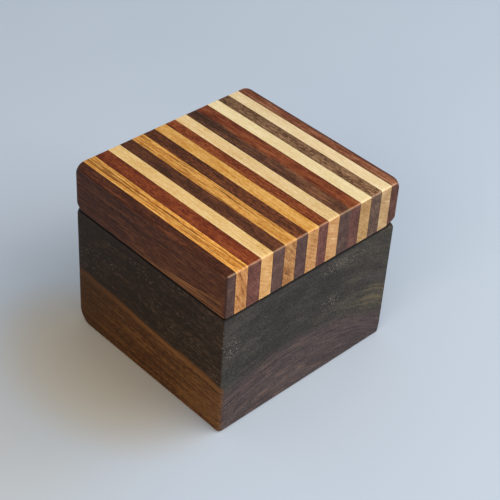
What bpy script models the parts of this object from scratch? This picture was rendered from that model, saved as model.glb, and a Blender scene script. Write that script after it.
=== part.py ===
"""Small wooden keepsake box: a bored base block and a lid of glued strips that turns about a corner pin.

Metres, +Z up. The origin is the middle of the base's underside.
+X runs across the lid's strips and +Y runs along them.
"""

import math

import bmesh
import bpy
from mathutils import Matrix, Vector

MM = 0.001

# The box
BOX_WIDTH = 76.2 * MM
BOX_DEPTH = 73.0 * MM
BASE_HEIGHT = 48.5 * MM
LID_THICKNESS = 16.5 * MM
SEAM_GAP = 0.3 * MM

# How far the sanded edges are rounded
LID_TOP_ROUND = 0.5 * MM
LID_SEAM_ROUND = 0.4 * MM
BASE_SEAM_ROUND = 0.5 * MM
FOOT_ROUND = 0.9 * MM

# How round each upright corner is along its length and at the ends. The corners are those at
# +X +Y, -X +Y, -X -Y and +X -Y
UPRIGHT_CORNERS = (1.4 * MM, 2.0 * MM, 0.9 * MM, 1.0 * MM)
LID_TOP_CORNERS = (2.6 * MM, 4.8 * MM, 1.5 * MM, 3.8 * MM)
LID_SEAM_CORNERS = (3.0 * MM, 4.6 * MM, 1.0 * MM, 6.5 * MM)
BASE_SEAM_CORNERS = (2.5 * MM, 4.4 * MM, 1.0 * MM, 7.0 * MM)
FOOT_CORNERS = (3.5 * MM, 6.6 * MM, 1.5 * MM, 1.8 * MM)

# The height over which the corners get that round
LID_TOP_REACH = 2.8 * MM
LID_SEAM_REACH = 2.4 * MM
BASE_SEAM_REACH = 2.2 * MM
FOOT_REACH = 5.4 * MM

# The round cavity
CAVITY_RADIUS = 27.0 * MM
CAVITY_FLOOR = 8.0 * MM
CAVITY_RIM_ROUND = 0.8 * MM

# The pin that the lid turns on, near the corner at +X +Y
PIN_RADIUS = 3.175 * MM
PIN_INSET = 9.5 * MM
PIN_IN_BASE = 22.0 * MM
PIN_IN_LID = 10.0 * MM
PIN_CHAMFER = 0.4 * MM
PIN_CLEARANCE = 0.08 * MM
PIN_END_GAP = 0.3 * MM

# The magnets that hold the lid shut, near the corner at -X -Y
MAGNET_RADIUS = 4.75 * MM
MAGNET_THICKNESS = 3.0 * MM
MAGNET_INSET = 9.5 * MM
MAGNET_CHAMFER = 0.25 * MM
MAGNET_GAP = 0.3 * MM

# How far a cutter runs past the face that it opens
CUT_OVERRUN = 2.0 * MM

# The strips from -X to +X: the wood's tone and the strip's share of the width
STRIP_SHARES = (
    ("dark_brown", 37),
    ("tan", 48),
    ("red_brown", 54),
    ("cream", 49),
    ("dark_brown", 50),
    ("tan", 50),
    ("dark_brown", 48),
    ("tan", 48),
    ("red_brown", 42),
    ("cream", 50),
    ("two_tone", 97),
    ("cream", 49),
    ("grey_brown", 49),
    ("cream", 46),
    ("red_brown", 45),
)

# Colour, roughness and metallic value of each tone
TONES = {
    "dark_brown": ((0.060, 0.026, 0.022, 1.0), 0.38, 0.0),
    "tan": ((0.520, 0.250, 0.075, 1.0), 0.36, 0.0),
    "red_brown": ((0.150, 0.042, 0.024, 1.0), 0.38, 0.0),
    "cream": ((0.720, 0.500, 0.230, 1.0), 0.36, 0.0),
    "grey_brown": ((0.110, 0.070, 0.045, 1.0), 0.38, 0.0),
    "two_tone": ((0.080, 0.030, 0.020, 1.0), 0.38, 0.0),
    "base": ((0.040, 0.026, 0.018, 1.0), 0.42, 0.0),
    "steel": ((0.560, 0.570, 0.580, 1.0), 0.30, 1.0),
    "magnet": ((0.640, 0.640, 0.620, 1.0), 0.22, 1.0),
}

# How finely round shapes are divided
ROUND_STEPS = 4
REACH_STEPS = 3
CORNER_STEPS = 4
CAVITY_SIDES = 96
PIN_SIDES = 64
MAGNET_SIDES = 48
SMOOTH_ANGLE = math.radians(35)

# Places that follow from the sizes
LID_BOTTOM = BASE_HEIGHT + SEAM_GAP
LID_TOP = LID_BOTTOM + LID_THICKNESS
PIN_X = BOX_WIDTH / 2 - PIN_INSET
PIN_Y = BOX_DEPTH / 2 - PIN_INSET
MAGNET_X = MAGNET_INSET - BOX_WIDTH / 2
MAGNET_Y = MAGNET_INSET - BOX_DEPTH / 2
PIVOT = Vector((PIN_X, PIN_Y, LID_BOTTOM))


def clear_scene():
    """Remove whatever the scene holds."""
    for thing in list(bpy.data.objects):
        bpy.data.objects.remove(thing)


def ring_solid(name, rings):
    """A closed mesh through equal rings of points, from the lowest ring to the highest."""
    shape = bmesh.new()
    loops = [[shape.verts.new(point) for point in ring] for ring in rings]
    for low, high in zip(loops, loops[1:]):
        count = len(low)
        for this in range(count):
            following = (this + 1) % count
            shape.faces.new((low[this], low[following], high[following], high[this]))
    shape.faces.new(list(reversed(loops[0])))
    shape.faces.new(loops[-1])
    mesh = bpy.data.meshes.new(name)
    shape.to_mesh(mesh)
    shape.free()
    return mesh


def rounded_rectangle(corner_rounds, inset, height):
    """Points of the box's plan with round corners, drawn in by the inset, anticlockwise from above."""
    points = []
    turns = ((1, 1), (-1, 1), (-1, -1), (1, -1))
    for corner, (side_x, side_y) in enumerate(turns):
        radius = corner_rounds[corner]
        centre_x = side_x * (BOX_WIDTH / 2 - radius)
        centre_y = side_y * (BOX_DEPTH / 2 - radius)
        for step in range(CORNER_STEPS + 1):
            angle = (corner + step / CORNER_STEPS) * math.pi / 2
            reach = radius - inset
            points.append((
                centre_x + reach * math.cos(angle),
                centre_y + reach * math.sin(angle),
                height,
            ))
    return points


def eased_levels(end, inward, edge_round, end_corners, reach):
    """The corners' roundness, the inset and the height of each ring, from an end face inwards.

    The inset follows a quarter circle of the edge's rounding. Each corner's extra roundness follows a
    parabola over its reach.
    """
    depths = []
    for step in range(ROUND_STEPS + 1):
        angle = step / ROUND_STEPS * math.pi / 2
        depths.append((edge_round * (1 - math.cos(angle)), edge_round * (1 - math.sin(angle))))
    for step in range(1, REACH_STEPS + 1):
        depths.append((edge_round + (reach - edge_round) * step / REACH_STEPS, 0))
    levels = []
    for depth, inset in depths:
        swell = max(0, 1 - depth / reach) ** 2
        corner_rounds = [
            plain + (corner - plain) * swell for plain, corner in zip(UPRIGHT_CORNERS, end_corners)
        ]
        levels.append((corner_rounds, inset, end + inward * depth))
    return levels


def eased_block(name, lower_levels, upper_levels):
    """A block of the box's width and depth, from the rings of its lower and its upper end."""
    rings = [rounded_rectangle(*level) for level in lower_levels + upper_levels[::-1]]
    return ring_solid(name, rings)


def turned_solid(name, profile, centre_x, centre_y, sides):
    """A round solid about an upright axis, from its radius and height at each level, lowest first."""
    rings = []
    for radius, height in profile:
        rings.append([
            (
                centre_x + radius * math.cos(2 * math.pi * side / sides),
                centre_y + radius * math.sin(2 * math.pi * side / sides),
                height,
            )
            for side in range(sides)
        ])
    return ring_solid(name, rings)


def chamfered_rod(radius, bottom, top, chamfer):
    """Profile of a plain rod or disc with a small chamfer at both ends."""
    return (
        (radius - chamfer, bottom),
        (radius, bottom + chamfer),
        (radius, top - chamfer),
        (radius - chamfer, top),
    )


def finish(thing, tone):
    """Shade the piece smooth and give it a material of its own."""
    thing.data.shade_smooth()
    thing.data.set_sharp_from_angle(angle=SMOOTH_ANGLE)
    colour, roughness, metallic = TONES[tone]
    material = bpy.data.materials.new(thing.name + "_finish")
    material.use_nodes = True
    shader = material.node_tree.nodes["Principled BSDF"]
    shader.inputs["Base Color"].default_value = colour
    shader.inputs["Roughness"].default_value = roughness
    shader.inputs["Metallic"].default_value = metallic
    thing.data.materials.append(material)


def place(name, mesh, parent=None):
    """Put a mesh into the scene, carried by the parent empty if one is named."""
    thing = bpy.data.objects.new(name, mesh)
    bpy.context.collection.objects.link(thing)
    if parent is not None:
        mesh.transform(Matrix.Translation(-PIVOT))
        thing.parent = parent
    return thing


def place_cutter(name, mesh, parent=None):
    """Put a cutter into the scene, drawn as wire and left out of renders."""
    cutter = place(name, mesh, parent)
    cutter.display_type = "WIRE"
    cutter.hide_render = True
    return cutter


def cut(thing, cutter):
    """Take the cutter's shape out of the piece."""
    modifier = thing.modifiers.new(cutter.name, "BOOLEAN")
    modifier.operation = "DIFFERENCE"
    modifier.solver = "EXACT"
    modifier.object = cutter


def make_pivot():
    """The empty on the pin's axis, at the lid's underside, that the lid's pieces hang on."""
    pivot = bpy.data.objects.new("lid_pivot", None)
    bpy.context.collection.objects.link(pivot)
    pivot.location = PIVOT
    return pivot


def cavity_profile():
    """Profile of the cavity's cutter: a straight bore whose mouth widens through a quarter round."""
    profile = [
        (CAVITY_RADIUS, CAVITY_FLOOR),
    ]
    for step in range(ROUND_STEPS + 1):
        angle = step / ROUND_STEPS * math.pi / 2
        profile.append((
            CAVITY_RADIUS + CAVITY_RIM_ROUND * (1 - math.cos(angle)),
            BASE_HEIGHT - CAVITY_RIM_ROUND * (1 - math.sin(angle)),
        ))
    profile.append((CAVITY_RADIUS + CAVITY_RIM_ROUND, BASE_HEIGHT + CUT_OVERRUN))
    return profile


def make_base():
    """The base block with its cavity, the pin's bore and the magnet's recess."""
    foot = eased_levels(0, 1, FOOT_ROUND, FOOT_CORNERS, FOOT_REACH)
    seam = eased_levels(BASE_HEIGHT, -1, BASE_SEAM_ROUND, BASE_SEAM_CORNERS, BASE_SEAM_REACH)
    base = place("base_block", eased_block("base_block", foot, seam))
    cavity = turned_solid("cavity_cutter", cavity_profile(), 0, 0, CAVITY_SIDES)
    cut(base, place_cutter("cavity_cutter", cavity))

    bore_radius = PIN_RADIUS + PIN_CLEARANCE
    bore_floor = BASE_HEIGHT - PIN_IN_BASE - PIN_END_GAP
    bore_levels = ((bore_radius, bore_floor), (bore_radius, BASE_HEIGHT + CUT_OVERRUN))
    bore = turned_solid("base_bore_cutter", bore_levels, PIN_X, PIN_Y, PIN_SIDES)
    cut(base, place_cutter("base_bore_cutter", bore))

    recess_radius = MAGNET_RADIUS + MAGNET_GAP
    recess_floor = BASE_HEIGHT - MAGNET_THICKNESS - MAGNET_GAP
    recess_levels = ((recess_radius, recess_floor), (recess_radius, BASE_HEIGHT + CUT_OVERRUN))
    recess = turned_solid("base_recess_cutter", recess_levels, MAGNET_X, MAGNET_Y, MAGNET_SIDES)
    cut(base, place_cutter("base_recess_cutter", recess))
    finish(base, "base")


def slice_block(name, block, left, right):
    """The part of the lid's block between two upright planes, closed along both cuts."""
    shape = bmesh.new()
    shape.from_mesh(block)
    for plane, side in ((left, -1), (right, 1)):
        if abs(plane) >= BOX_WIDTH / 2:
            continue
        everything = shape.verts[:] + shape.edges[:] + shape.faces[:]
        result = bmesh.ops.bisect_plane(
            shape,
            geom=everything,
            dist=0,
            plane_co=(plane, 0, 0),
            plane_no=(side, 0, 0),
            clear_outer=True,
        )
        rim = [part for part in result["geom_cut"] if isinstance(part, bmesh.types.BMEdge)]
        for edge in rim:
            for corner in edge.verts:
                corner.co.x = plane
        bmesh.ops.holes_fill(shape, edges=rim, sides=0)
    bmesh.ops.recalc_face_normals(shape, faces=shape.faces[:])
    mesh = bpy.data.meshes.new(name)
    shape.to_mesh(mesh)
    shape.free()
    return mesh


def make_lid(pivot):
    """The lid's strips side by side, cut for the pin and the magnet where those reach them."""
    hole_radius = PIN_RADIUS + PIN_CLEARANCE
    hole_top = LID_BOTTOM + PIN_IN_LID + PIN_END_GAP
    hole_levels = ((hole_radius, LID_BOTTOM - CUT_OVERRUN), (hole_radius, hole_top))
    hole = turned_solid("lid_hole_cutter", hole_levels, PIN_X, PIN_Y, PIN_SIDES)
    hole_cutter = place_cutter("lid_hole_cutter", hole, pivot)

    recess_radius = MAGNET_RADIUS + MAGNET_GAP
    recess_top = LID_BOTTOM + MAGNET_THICKNESS + MAGNET_GAP
    recess_levels = ((recess_radius, LID_BOTTOM - CUT_OVERRUN), (recess_radius, recess_top))
    recess = turned_solid("lid_recess_cutter", recess_levels, MAGNET_X, MAGNET_Y, MAGNET_SIDES)
    recess_cutter = place_cutter("lid_recess_cutter", recess, pivot)

    seam = eased_levels(LID_BOTTOM, 1, LID_SEAM_ROUND, LID_SEAM_CORNERS, LID_SEAM_REACH)
    crown = eased_levels(LID_TOP, -1, LID_TOP_ROUND, LID_TOP_CORNERS, LID_TOP_REACH)
    block = eased_block("lid_block", seam, crown)
    all_shares = sum(share for tone, share in STRIP_SHARES)
    shares_before = 0
    for number, (tone, share) in enumerate(STRIP_SHARES, start=1):
        left = BOX_WIDTH * shares_before / all_shares - BOX_WIDTH / 2
        shares_before += share
        right = BOX_WIDTH * shares_before / all_shares - BOX_WIDTH / 2
        name = f"lid_strip_{number:02d}_{tone}"
        strip = place(name, slice_block(name, block, left, right), pivot)
        if left < PIN_X + hole_radius and right > PIN_X - hole_radius:
            cut(strip, hole_cutter)
        if left < MAGNET_X + recess_radius and right > MAGNET_X - recess_radius:
            cut(strip, recess_cutter)
        finish(strip, tone)
    bpy.data.meshes.remove(block)


def make_pin(pivot):
    """The steel pin, held in the lid and turning in the base."""
    levels = chamfered_rod(PIN_RADIUS, BASE_HEIGHT - PIN_IN_BASE, LID_BOTTOM + PIN_IN_LID, PIN_CHAMFER)
    pin = place("pivot_pin", turned_solid("pivot_pin", levels, PIN_X, PIN_Y, PIN_SIDES), pivot)
    finish(pin, "steel")


def make_magnet(name, bottom, parent=None):
    """One disc magnet, flush with the wood that it is let into."""
    levels = chamfered_rod(MAGNET_RADIUS, bottom, bottom + MAGNET_THICKNESS, MAGNET_CHAMFER)
    magnet = place(name, turned_solid(name, levels, MAGNET_X, MAGNET_Y, MAGNET_SIDES), parent)
    finish(magnet, "magnet")


clear_scene()
lid_pivot = make_pivot()
make_base()
make_magnet("base_magnet", BASE_HEIGHT - MAGNET_THICKNESS)
make_lid(lid_pivot)
make_pin(lid_pivot)
make_magnet("lid_magnet", LID_BOTTOM, lid_pivot)
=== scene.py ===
import math

import bpy
import numpy as np
from mathutils import Matrix, Vector


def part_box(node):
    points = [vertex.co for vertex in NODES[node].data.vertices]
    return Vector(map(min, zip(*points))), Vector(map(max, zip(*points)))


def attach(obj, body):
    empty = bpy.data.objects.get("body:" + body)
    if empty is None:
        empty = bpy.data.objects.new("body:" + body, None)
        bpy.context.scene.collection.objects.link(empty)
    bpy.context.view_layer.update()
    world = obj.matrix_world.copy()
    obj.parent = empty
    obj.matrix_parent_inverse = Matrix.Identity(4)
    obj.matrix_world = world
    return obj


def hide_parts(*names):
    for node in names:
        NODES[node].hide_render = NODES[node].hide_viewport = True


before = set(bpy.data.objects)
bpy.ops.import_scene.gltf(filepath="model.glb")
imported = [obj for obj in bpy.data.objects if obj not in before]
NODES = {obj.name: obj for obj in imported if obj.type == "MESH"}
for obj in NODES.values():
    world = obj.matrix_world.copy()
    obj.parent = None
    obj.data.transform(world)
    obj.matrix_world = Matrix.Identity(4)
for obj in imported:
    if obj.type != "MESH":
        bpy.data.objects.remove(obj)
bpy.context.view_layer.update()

MM = 0.001

# The box, read from the frame
BASE_LOW, BASE_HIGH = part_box("base_block")
STRIPS = sorted(name for name in NODES if name.startswith("lid_strip"))
LID_LOW, LID_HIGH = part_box(STRIPS[0])
HALF_WIDTH = BASE_HIGH.x
HALF_DEPTH = BASE_HIGH.y
PIN_LOW, PIN_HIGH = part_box("pivot_pin")
MAGNET_LOW, MAGNET_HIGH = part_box("lid_magnet")
BASE_MAGNET_LOW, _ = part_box("base_magnet")

# How far the sanded edges are rounded
LID_TOP_ROUND = 0.5 * MM
LID_SEAM_ROUND = 0.4 * MM
BASE_SEAM_ROUND = 0.5 * MM
FOOT_ROUND = 0.9 * MM

# The four upright corners: the side of the middle that each is on, and how round each is along its
# length and at the ends
CORNER_SIDES = ((1, 1), (-1, 1), (-1, -1), (1, -1))
UPRIGHT_CORNERS = np.array((1.4, 2.0, 0.9, 1.0)) * MM
LID_TOP_CORNERS = np.array((2.6, 4.8, 1.5, 3.8)) * MM
LID_SEAM_CORNERS = np.array((3.0, 4.6, 1.0, 6.5)) * MM
BASE_SEAM_CORNERS = np.array((2.5, 4.4, 1.0, 7.0)) * MM
FOOT_CORNERS = np.array((3.5, 6.6, 1.5, 1.8)) * MM

# The right and the left corner of the back and of the front, by their places in those lists
BACK_CORNERS = (0, 1)
FRONT_CORNERS = (3, 2)

# The height over which the corners grow to the round that they have at the ends
LID_TOP_REACH = 2.8 * MM
LID_SEAM_REACH = 2.4 * MM
BASE_SEAM_REACH = 2.2 * MM
FOOT_REACH = 5.4 * MM

# Hollows
CAVITY_CENTRE = (0, 0)
CAVITY_RADIUS = 27.0 * MM
CAVITY_FLOOR = 8.0 * MM
CAVITY_RIM_ROUND = 0.8 * MM
PIN_CLEARANCE = 0.08 * MM
PIN_END_GAP = 0.3 * MM
MAGNET_GAP = 0.3 * MM
CUT_OVERRUN = 2.0 * MM

# How finely the surfaces are divided
ARC_STEPS = 8
REACH_STEPS = 6
SIDE_STEPS = 8
FLAT_STEPS = 24
TURN_STEPS = 160
BORE_STEPS = 96
SMOOTH_ANGLE = math.radians(35)

# The outlines across a strip. They stand closer together over a zone at each side of the lid, and
# the face that closes a strip is drawn in by a share of its size
STRIP_OUTLINES = 9
LEFT_STRIP_OUTLINES = 3
RIGHT_STRIP_OUTLINES = 5
SIDE_ZONE = 3.4 * MM
CAP_INSET_SHARE = 0.12

# The camera, as the photograph was taken. Its lens and its sensor are in millimetres
CAMERA_PLACE = Vector((-247.48, -249.80, 315.91)) * MM
CAMERA_AZIMUTH = math.radians(-45.636)
CAMERA_ELEVATION = math.radians(38.726)
CAMERA_ROLL = math.radians(3.827)
CAMERA_LENS = 96.62
CAMERA_SENSOR = 36
CAMERA_NEAREST = 10 * MM

# The soft lamps, the point that they look at, and the even light from all round. Places and sizes
# are in metres, and power is in watts
LAMP_AIM = (0, 0, 0.03)
LAMPS = {
    "key": dict(place=(0.36, -0.52, 0.54), size=0.85, power=5.7, colour=(1.0, 0.98, 0.95)),
    "fill": dict(place=(-0.75, -0.30, 0.45), size=0.6, power=3.2, colour=(1.0, 0.86, 0.68)),
}
SKY_COLOUR = (0.92, 0.96, 1.0)
SKY_STRENGTH = 0.42

# How much light any finish throws back like a mirror
SHINE = 0.12


def in_mm(*corners):
    """The corners of a box, in millimetres."""
    return [corner / MM for corner in corners]


BASE_BOX = in_mm(BASE_LOW, BASE_HIGH)
LID_BOX = in_mm(
    Vector((BASE_LOW.x, BASE_LOW.y, LID_LOW.z)),
    Vector((BASE_HIGH.x, BASE_HIGH.y, LID_HIGH.z)),
)


def both_ways(operation):
    """The two methods of an operator: with the other number second, and with it first."""
    def second(number, other):
        return number.sheet.math(operation, number, other)

    def first(number, other):
        return number.sheet.math(operation, other, number)

    return second, first


class Number:
    """One number on a node sheet. Every operator adds the Math node that works it out."""

    def __init__(self, sheet, socket):
        self.sheet = sheet
        self.socket = socket

    __add__, __radd__ = both_ways("ADD")
    __sub__, __rsub__ = both_ways("SUBTRACT")
    __mul__, __rmul__ = both_ways("MULTIPLY")
    __truediv__, __rtruediv__ = both_ways("DIVIDE")

    def __neg__(self):
        return self.sheet.math("MULTIPLY", self, -1)

    def __abs__(self):
        return self.sheet.math("ABSOLUTE", self)


class Sheet:
    """The node sheet of one finish. Its x, y and z are Object coordinates in millimetres."""

    def __init__(self, name):
        self.material = bpy.data.materials.new(name)
        self.material.use_nodes = True
        self.tree = self.material.node_tree
        self.shader = self.tree.nodes["Principled BSDF"]
        self.shader.inputs["Specular IOR Level"].default_value = SHINE
        self.coordinates = self.add("ShaderNodeTexCoord")
        place = self.scaled(self.coordinates.outputs["Object"], 1 / MM)
        self.x, self.y, self.z = self.split(place)

    def add(self, kind, settings=None, **inputs):
        """Add a node of a kind: its settings first, then the values or links of its sockets."""
        node = self.tree.nodes.new(kind)
        for key, value in (settings or {}).items():
            if key == "stops":
                self.set_stops(node.color_ramp, value)
            else:
                setattr(node, key, value)
        for key, value in inputs.items():
            self.feed(self.find(node, key), value)
        return node

    def find(self, node, key):
        """The node's working input with a name, in which _ stands for a blank."""
        wanted = key.replace("_", " ")
        return next(socket for socket in node.inputs if socket.name.lower() == wanted and socket.enabled)

    def set_stops(self, ramp, stops):
        """Write a ramp's stops: a place and a colour each."""
        while len(ramp.elements) < len(stops):
            ramp.elements.new(0.5)
        for element, (place, colour) in zip(ramp.elements, stops):
            element.position = place
            element.color = (*colour, 1)

    def feed(self, socket, value):
        """Put a number, a colour, a Number or another node's socket into a socket."""
        if isinstance(value, Number):
            value = value.socket
        if isinstance(value, bpy.types.NodeSocket):
            self.tree.links.new(value, socket)
        elif socket.type == "RGBA":
            socket.default_value = (*value, 1)
        else:
            socket.default_value = value

    def math(self, operation, *terms, clamp=False):
        """A Math node's answer. Its sockets share one name, so they are fed in their order."""
        node = self.add("ShaderNodeMath", {"operation": operation, "use_clamp": clamp})
        for socket, term in zip(node.inputs, terms):
            self.feed(socket, term)
        return Number(self, node.outputs[0])

    def clip(self, value):
        """The value kept between nought and one."""
        return self.math("ADD", value, 0, clamp=True)

    def step(self, value, start, end):
        """A smooth rise from nought at the start to one at the end."""
        smooth = {"interpolation_type": "SMOOTHSTEP"}
        node = self.add("ShaderNodeMapRange", smooth, value=value, from_min=start, from_max=end)
        return Number(self, node.outputs[0])

    def fade(self, value, start, end):
        """A smooth fall from one at the start to nought at the end."""
        return 1 - self.step(value, start, end)

    def band(self, value, rise_start, rise_end, fall_start, fall_end):
        """A smooth rise to one and the fall after it."""
        return self.step(value, rise_start, rise_end) * self.fade(value, fall_start, fall_end)

    def oval(self, across, along, core, rim):
        """One inside an oval, nought outside: the sum of two squares, faded from its core to its rim."""
        return self.fade(across * across + along * along, core, rim)

    def mix(self, share, under, over):
        """One colour over another, by its share."""
        node = self.add("ShaderNodeMix", {"data_type": "RGBA"}, factor=share, a=under, b=over)
        return next(socket for socket in node.outputs if socket.enabled)

    def scaled(self, vector, number):
        """A vector or a colour times a number."""
        node = self.add("ShaderNodeVectorMath", {"operation": "SCALE"}, vector=vector, scale=number)
        return node.outputs[0]

    def at(self, x, y, z):
        """A place to sample a pattern, from three numbers."""
        return self.add("ShaderNodeCombineXYZ", x=x, y=y, z=z).outputs[0]

    def split(self, vector):
        """The three numbers of a vector."""
        node = self.add("ShaderNodeSeparateXYZ", vector=vector)
        return [Number(self, socket) for socket in node.outputs]

    def noise(self, vector, detail, roughness):
        """Cloudy noise about a half, with finer layers added to it."""
        node = self.add("ShaderNodeTexNoise", vector=vector, scale=1.0, detail=detail, roughness=roughness)
        return Number(self, node.outputs[0])

    def bumps(self, reach, detail=2.0, roughness=0.5, shift=0.0):
        """Noise about a half, in bumps that reach so many millimetres along x, y and z."""
        place = self.at(self.x / reach[0] + shift, self.y / reach[1], self.z / reach[2])
        return self.noise(place, detail, roughness)

    def facing(self, axis, start, end):
        """One where the surface faces along an axis of the part, nought where it faces across it."""
        normal = self.split(self.coordinates.outputs["Normal"])
        return self.step(abs(normal["xyz".index(axis)]), start, end)

    def wire(self, colour, roughness, height=None, depth=0.0, strength=1.0):
        """Feed the shader, with a bump where there is a height."""
        self.feed(self.shader.inputs["Base Color"], colour)
        self.feed(self.shader.inputs["Roughness"], roughness)
        if height is not None:
            bump = self.add("ShaderNodeBump", strength=strength, distance=depth, height=height)
            self.feed(self.shader.inputs["Normal"], bump.outputs[0])
        return self.material


def srgb(red, green, blue):
    """A colour read off a screen, made linear by the screen's standard curve."""
    def one(value):
        share = value / 255
        return share / 12.92 if share <= 0.04045 else ((share + 0.055) / 1.055) ** 2.4
    return (one(red), one(green), one(blue))


# How far apart the boards' patterns are cut from the noise, and how far out a patch on the block's
# ends is full, as a share of its reach squared
SEED_SPACING = 13.7
PATCH_CORE = 0.3


class Board(Sheet):
    """The node sheet of a piece of wood, whose fibres run along y.

    through: the way out across the growth rings. around: the way along them. Both are in millimetres.
    """

    def lay(self, through, around, seed, marks):
        """Lay the growth rings in the piece, and make the marks that all its faces share."""
        self.through = through
        self.around = around
        self.shift = seed * SEED_SPACING
        self.clouds = self.cloud(*marks["clouds"])
        self.fibres = self.cloud(*marks["fibres"])
        self.flecks = self.cloud(*marks["flecks"])
        self.pores = self.dots(*marks["pores"])

    def cloud(self, across, deep, long, detail=2.0, rough=0.5, turn=0.0):
        """Noise about nought, in marks about so many millimetres across the rings, deep and long."""
        place = self.at(
            (self.through + self.y * turn) / across + self.shift,
            self.around / deep - self.shift,
            self.y / long,
        )
        return self.noise(place, detail, rough) - 0.5

    def dots(self, across, long, least, most):
        """One inside scattered dots drawn out along the fibres, nought between them."""
        place = self.at(self.through / across, self.around / across + self.shift, self.y / long)
        nearest = {"feature": "F1"}
        cells = self.add("ShaderNodeTexVoronoi", nearest, vector=place, scale=1.0, randomness=1.0)
        return self.fade(Number(self, cells.outputs["Distance"]), least, most)

    def ramp(self, value, colours):
        """A colour picked by a number from an even row of screen colours."""
        last = len(colours) - 1
        stops = [(number / last, srgb(*colour)) for number, colour in enumerate(colours)]
        return self.add("ShaderNodeValToRGB", {"stops": stops}, fac=value).outputs[0]

    def patches(self, spots):
        """Soft patches on the ends of the block: each has its place, reach both ways and strength."""
        total = 0
        for x, z, reach_x, reach_z, strength in spots:
            patch = self.oval((self.x - x) / reach_x, (self.z - z) / reach_z, PATCH_CORE, 1.0)
            total = total + patch * strength
        return total


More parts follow.
